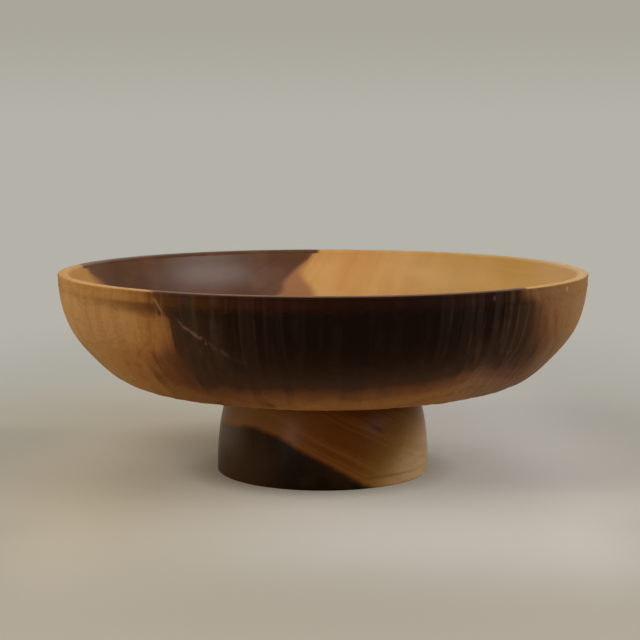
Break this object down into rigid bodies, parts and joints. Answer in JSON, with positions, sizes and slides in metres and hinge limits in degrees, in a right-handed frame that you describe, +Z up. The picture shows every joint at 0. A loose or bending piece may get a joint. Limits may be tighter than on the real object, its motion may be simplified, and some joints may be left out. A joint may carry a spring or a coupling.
{
  "type": "footed wooden bowl",
  "caption": "Shallow round turned wooden bowl with a smooth rim band and a carved wall, glued by a spigot joint on a low drum foot.",
  "frame": {"origin": "centre of the foot's standing face, on the table", "axes": "+Z up along the turning axis; -Y is the side that the picture shows"},
  "size_m": [0.3, 0.3, 0.1155],
  "materials": {
    "bowl_wood": "satin oil over two-tone wood, dark heartwood and golden sapwood; carved outside, smooth inside",
    "foot_wood": "smooth satin oil over two-tone wood, dark heartwood and brown sapwood"
  },
  "bodies": {
    "root": {"bowl": "bowl_wood", "foot": "foot_wood"}
  },
  "joints": []
}
